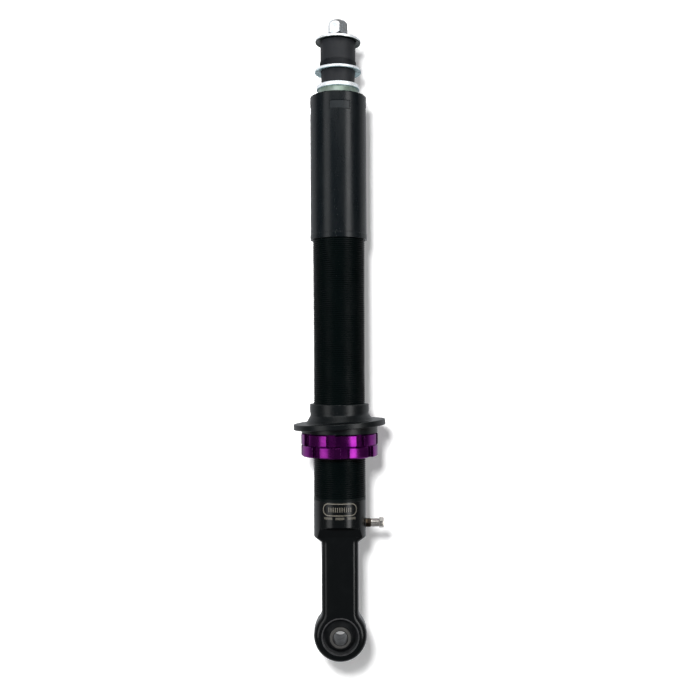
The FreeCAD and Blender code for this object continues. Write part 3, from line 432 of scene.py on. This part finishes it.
def threaded_tube():
    """The damper body: a true helical thread that runs out at each end, and a smooth bore."""
    low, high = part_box("body_tube")
    bottom, top, crest = low.z, high.z, high.x
    bore, groove_radius = 23 * MM, 24 * MM
    clip_low, clip_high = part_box("gland_clip")
    pitch, depth, run_out, edge = 2 * MM, 1.15 * MM, 3 * MM, 1 * MM
    sides = 96
    # one pitch of the thread's profile: share of the pitch, share of the depth
    profile = ((0.0, 0), (0.2, 0), (0.55, 1), (0.65, 1))

    mesh = bmesh.new()

    def circle(height, radius):
        turns = [2 * math.pi * side / sides for side in range(sides)]
        return [mesh.verts.new(about_z(turn, height, radius)) for turn in turns]

    start = bottom + 0.5 * pitch
    end = top - edge - 0.5 * pitch
    step = len(profile)
    count = int((end - start) / pitch - 1) * step
    rows = []
    for row in range(count):
        share, sunk = profile[row % step]
        row_base = start + pitch * (row // step + share)
        verts = []
        for side in range(sides):
            height = row_base + pitch * side / sides
            fade = min(1, max(0, (height - start) / run_out), max(0, (end - height) / run_out))
            turn = 2 * math.pi * side / sides
            verts.append(mesh.verts.new(about_z(turn, height, crest - depth * sunk * fade)))
        rows.append(verts)
    for first, second in zip(rows, rows[1:]):
        for side in range(sides - 1):
            mesh.faces.new((first[side], first[side + 1], second[side + 1], second[side]))
    # each row's last point meets the first point of the row one pitch up
    last = sides - 1
    for row in range(count - step - 1):
        mesh.faces.new((
            rows[row][last], rows[row + step][0], rows[row + step + 1][0], rows[row + 1][last]))

    foot = circle(bottom, crest)
    head = circle(top - edge, crest)
    for side in range(last):
        mesh.faces.new((foot[side], foot[side + 1], rows[0][side + 1], rows[0][side]))
        mesh.faces.new((rows[-1][side], rows[-1][side + 1], head[side + 1], head[side]))
    seam_low = [rows[row][0] for row in range(step + 1)]
    mesh.faces.new([foot[last], foot[0], *seam_low, rows[0][last]])
    seam_high = [rows[row][last] for row in range(count - step - 1, count)]
    mesh.faces.new([*seam_high, head[last], head[0], rows[-1][0]])

    inside = [
        circle(top, crest - edge), circle(top, bore), circle(clip_high.z, bore),
        circle(clip_high.z, groove_radius), circle(clip_low.z, groove_radius),
        circle(clip_low.z, bore), circle(bottom, bore), foot,
    ]
    join(mesh, head, inside[0])
    for first, second in zip(inside, inside[1:]):
        join(mesh, first, second)
    stand_for(finished("threaded_body", mesh, 25), "body_tube", "dark_thread", "damper_body")


def foam_stop():
    """The bump stop: soft bellows folds with rounded crowns, standing in its cup."""
    low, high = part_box("bump_stop")
    foot, length, outer = low.z, high.z - low.z, high.x
    bore, tip_round = 11.2 * MM, 2.5 * MM
    folds, steps, bore_steps, sides = 3.5, 84, 12, 96

    def wall(share):
        fold = 0.5 - 0.5 * math.cos(2 * math.pi * folds * share)
        taper = 0.72 + 0.28 * min(1, share / 0.35)
        return (outer - bore) * taper * (0.66 + 0.34 * fold)

    def ring(share, radius):
        return lambda turn: (foot + length * share, radius)

    rings = []
    for step in range(steps + 1):
        share = step / steps
        tuck = min(1, share * length / tip_round)
        swell = math.sqrt(1 - (1 - tuck) ** 2)
        rings.append(ring(share, bore + wall(share) * (0.6 + 0.4 * swell)))
    rings += [ring(step / bore_steps, bore) for step in range(bore_steps, -1, -1)]
    piece = turned_rings("foam_stop", rings, sides, about_z)
    stand_for(piece, "bump_stop", "foam", "rod")
    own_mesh(piece)


def hexagon(flats, turn, corner):
    """Radius of a hexagon with this distance from centre to flat, its corners cut at a radius."""
    local = (turn + math.pi / 6) % (math.pi / 3) - math.pi / 6
    return min(flats / math.cos(local), corner)


def valve_cap():
    """The screwed cap: a fluted barrel, a waist, and a hexagon head with a chamfered end."""
    low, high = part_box("valve_cap")
    start, end, head = low.x, high.x, high.y
    bore, barrel, flats, pinhole = 3.65 * MM, 4.2 * MM, 4.8 * MM, 0.02 * MM
    waist, roof = start + 8.2 * MM, end - 2.4 * MM
    groove = barrel - 0.5 * MM
    ease = 0.3 * MM
    flutes, flute_depth = 12, 0.3 * MM

    def plain(along, radius):
        return lambda turn: (along, radius)

    def fluted(along, share):
        def ring(turn):
            dip = max(0, math.cos(flutes * turn)) ** 0.7
            return along, barrel - share * flute_depth * dip
        return ring

    def hexed(along, inset):
        return lambda turn: (along, hexagon(flats, turn, head) - inset)

    rings = [
        plain(start, bore), plain(start, barrel - ease), plain(start + ease, barrel),
        fluted(start + 0.7 * MM, 0), fluted(start + 1.3 * MM, 1),
        fluted(waist - 1.2 * MM, 1), fluted(waist - 0.6 * MM, 0),
        plain(waist - 0.5 * MM, groove), plain(waist - 0.1 * MM, groove),
        hexed(waist, 0.35 * MM), hexed(waist + 0.35 * MM, 0), hexed(end - 0.6 * MM, 0),
        hexed(end - 0.25 * MM, 0.2 * MM), hexed(end, 0.75 * MM),
        plain(end, 0.4 * MM), plain(end, pinhole), plain(roof, pinhole), plain(roof, bore),
    ]
    piece = turned_rings("fluted_cap", rings, 144, about_valve)
    stand_for(piece, "valve_cap", "nickel", "valve_cap_body")


for name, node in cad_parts.items():
    finish_for(node, node.data.materials[0].name.split(".")[0])
    if name == "bush_rubber":
        node.data.materials[0] = EYE_RUBBER.material
threaded_tube()
foam_stop()
valve_cap()


# ---------------------------------------------------------------- studio

def paper():
    """Pale paper, seen and lit from its front only, with a faint glow of its own."""
    material = bpy.data.materials.new("pale_paper")
    material.use_nodes = True
    tree = material.node_tree
    tree.nodes.clear()
    matt = tree.nodes.new("ShaderNodeBsdfDiffuse")
    matt.inputs["Color"].default_value = (0.9, 0.9, 0.9, 1)
    glow = tree.nodes.new("ShaderNodeEmission")
    glow.inputs["Strength"].default_value = 0.3
    both = tree.nodes.new("ShaderNodeAddShader")
    clear = tree.nodes.new("ShaderNodeBsdfTransparent")
    pick = tree.nodes.new("ShaderNodeMixShader")
    out = tree.nodes.new("ShaderNodeOutputMaterial")
    tree.links.new(matt.outputs[0], both.inputs[0])
    tree.links.new(glow.outputs[0], both.inputs[1])
    tree.links.new(tree.nodes.new("ShaderNodeNewGeometry").outputs["Backfacing"], pick.inputs[0])
    tree.links.new(both.outputs[0], pick.inputs[1])
    tree.links.new(clear.outputs[0], pick.inputs[2])
    tree.links.new(pick.outputs[0], out.inputs[0])
    return material


def strip(name, outline, reach, material):
    """A smooth sheet swept sideways along an outline of (y, z) points."""
    mesh = bmesh.new()
    sides = [[mesh.verts.new((x, y, z)) for y, z in outline] for x in (-reach, reach)]
    for step in range(len(outline) - 1):
        mesh.faces.new((sides[0][step], sides[1][step], sides[1][step + 1], sides[0][step + 1]))
    data = bpy.data.meshes.new(name)
    mesh.to_mesh(data)
    mesh.free()
    data.shade_smooth()
    data.materials.append(material)
    sheet = bpy.data.objects.new(name, data)
    bpy.context.scene.collection.objects.link(sheet)
    return sheet


def stage():
    """A pale floor, and a wall close behind the object that curves down into it.

    The wall catches the shadow. Neither is mirrored in the object, and the floor lights nothing."""
    floor_z = cad_low.z - 75 * MM
    wall_y = cad_high.y + 6 * MM
    reach, curve, steps = 2.5, 30 * MM, 12
    arc = []
    for step in range(steps + 1):
        turn = math.pi / 2 * step / steps
        forward, up = curve * math.sin(turn), curve * math.cos(turn)
        arc.append((wall_y - curve + forward, floor_z + curve - up))
    material = paper()
    wall = strip("wall", [*arc, (wall_y, reach)], reach, material)
    floor = strip("floor", [(-reach, floor_z), arc[0]], reach, material)
    wall.visible_glossy = floor.visible_glossy = floor.visible_diffuse = False


def soft_box(name, azimuth, elevation, distance, size, power, glossy=True, diffuse=True):
    """A rectangular lamp that faces the middle of the object. Azimuth 0 is the camera's side."""
    lamp = bpy.data.lights.new(name, "AREA")
    lamp.shape = "RECTANGLE"
    lamp.size, lamp.size_y = size
    lamp.energy = power
    turn, lift = math.radians(azimuth), math.radians(elevation)
    aim = (cad_low + cad_high) / 2
    level = math.cos(lift)
    away = Vector((math.sin(turn) * level, -math.cos(turn) * level, math.sin(lift)))
    holder = bpy.data.objects.new(name, lamp)
    holder.location = aim + away * distance
    holder.rotation_mode = "QUATERNION"
    holder.rotation_quaternion = away.to_track_quat("Z", "Y")
    holder.visible_camera = False
    holder.visible_glossy = glossy
    holder.visible_diffuse = diffuse
    bpy.context.scene.collection.objects.link(holder)


def sky():
    """White to the camera. The object sees a dim studio in front and a brighter backdrop behind."""
    world = bpy.data.worlds.new("studio")
    world.use_nodes = True
    tree = world.node_tree
    behind = tree.nodes["Background"]
    behind.inputs["Color"].default_value = (1, 1, 1, 1)
    dim = tree.nodes.new("ShaderNodeBackground")
    dim.inputs["Color"].default_value = (0.93, 0.96, 1, 1)
    direction = tree.nodes.new("ShaderNodeSeparateXYZ")
    behind_share = tree.nodes.new("ShaderNodeMapRange")
    behind_share.interpolation_type = "SMOOTHSTEP"
    steps = {"From Min": 0.05, "From Max": 0.4, "To Min": 0.07, "To Max": 0.55}
    for socket, value in steps.items():
        behind_share.inputs[socket].default_value = value
    tree.links.new(tree.nodes.new("ShaderNodeTexCoord").outputs["Generated"], direction.inputs[0])
    tree.links.new(direction.outputs["Y"], behind_share.inputs["Value"])
    tree.links.new(behind_share.outputs["Result"], dim.inputs["Strength"])
    pick = tree.nodes.new("ShaderNodeMixShader")
    tree.links.new(tree.nodes.new("ShaderNodeLightPath").outputs["Is Camera Ray"], pick.inputs[0])
    tree.links.new(dim.outputs[0], pick.inputs[1])
    tree.links.new(behind.outputs[0], pick.inputs[2])
    tree.links.new(pick.outputs[0], tree.nodes["World Output"].inputs[0])
    bpy.context.scene.world = world


def camera():
    """Level, a little below the object's middle, with the object leaning slightly to the left."""
    distance, aside, drop, lean = 0.9, 0.8 * MM, 18 * MM, 0.0044
    data = bpy.data.cameras.new("camera")
    data.lens = 47.6
    data.sensor_width = 36
    data.shift_y = drop / (distance * data.sensor_width / data.lens)
    data.clip_start, data.clip_end = 0.01, 20
    holder = bpy.data.objects.new("camera", data)
    holder.location = (aside, -distance, (cad_low.z + cad_high.z) / 2 - drop)
    holder.rotation_euler = (math.pi / 2, lean, 0)
    bpy.context.scene.collection.objects.link(holder)
    bpy.context.scene.camera = holder


stage()
soft_box("key_left", -47, 5, 1.1, (0.46, 1.5), 2.6, diffuse=False)
soft_box("key_right", 41, 5, 1.1, (0.36, 1.5), 4.6, diffuse=False)
soft_box("top", 0, 44, 1.2, (0.9, 0.5), 3.2, diffuse=False)
soft_box("shadow", -9, 13, 0.9, (0.18, 0.18), 15, glossy=False)
sky()
camera()
bpy.context.scene.view_settings.view_transform = "Standard"
bpy.context.view_layer.update()
